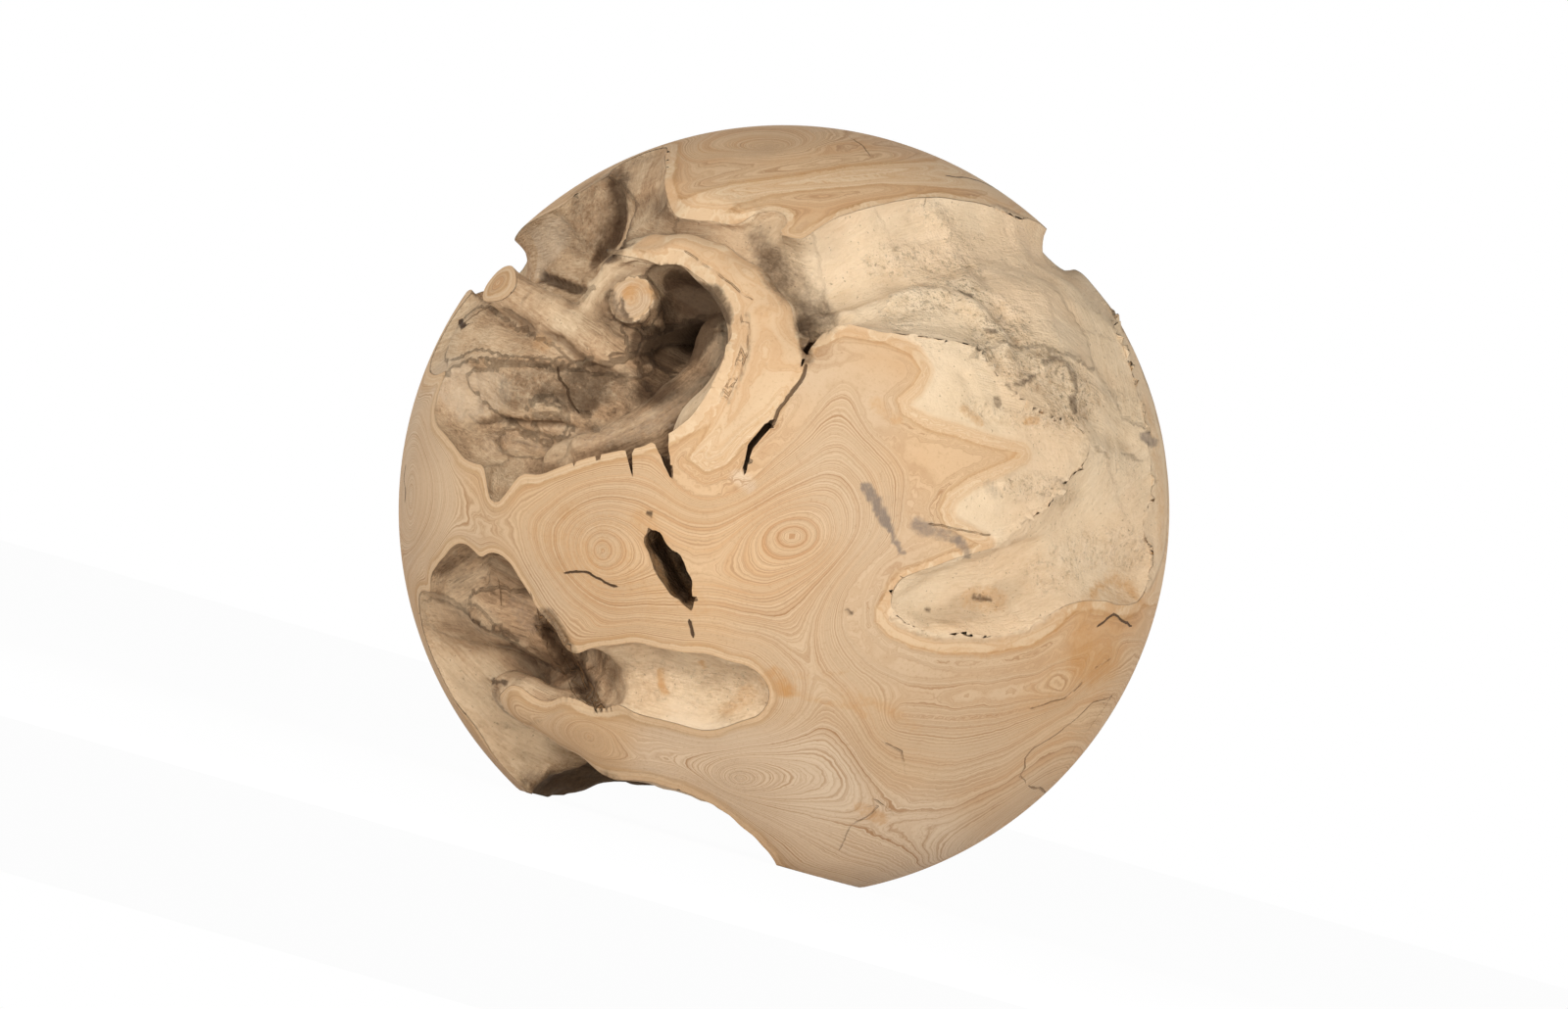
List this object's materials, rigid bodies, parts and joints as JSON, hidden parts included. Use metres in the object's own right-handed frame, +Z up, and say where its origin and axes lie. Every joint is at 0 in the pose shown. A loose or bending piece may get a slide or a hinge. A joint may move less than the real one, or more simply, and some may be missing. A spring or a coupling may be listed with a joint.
{
  "type": "wooden ball",
  "caption": "Solid ball turned from a clump of tree root, with a ground round face, deep natural hollows, an arched root and a broken hollow underneath that it stands on.",
  "frame": {"origin": "on the floor, at the middle of the object's outline seen from above", "axes": "+Z up from the floor it stands on, -Y towards the side with the main hollow and the arched root, +X to the right of that side"},
  "size_m": [0.4, 0.3994, 0.3771],
  "materials": {
    "root_wood": "ground smooth and left bare, with weathered natural skin in the hollows"
  },
  "bodies": {
    "root": {"root_ball": "root_wood"}
  },
  "joints": []
}
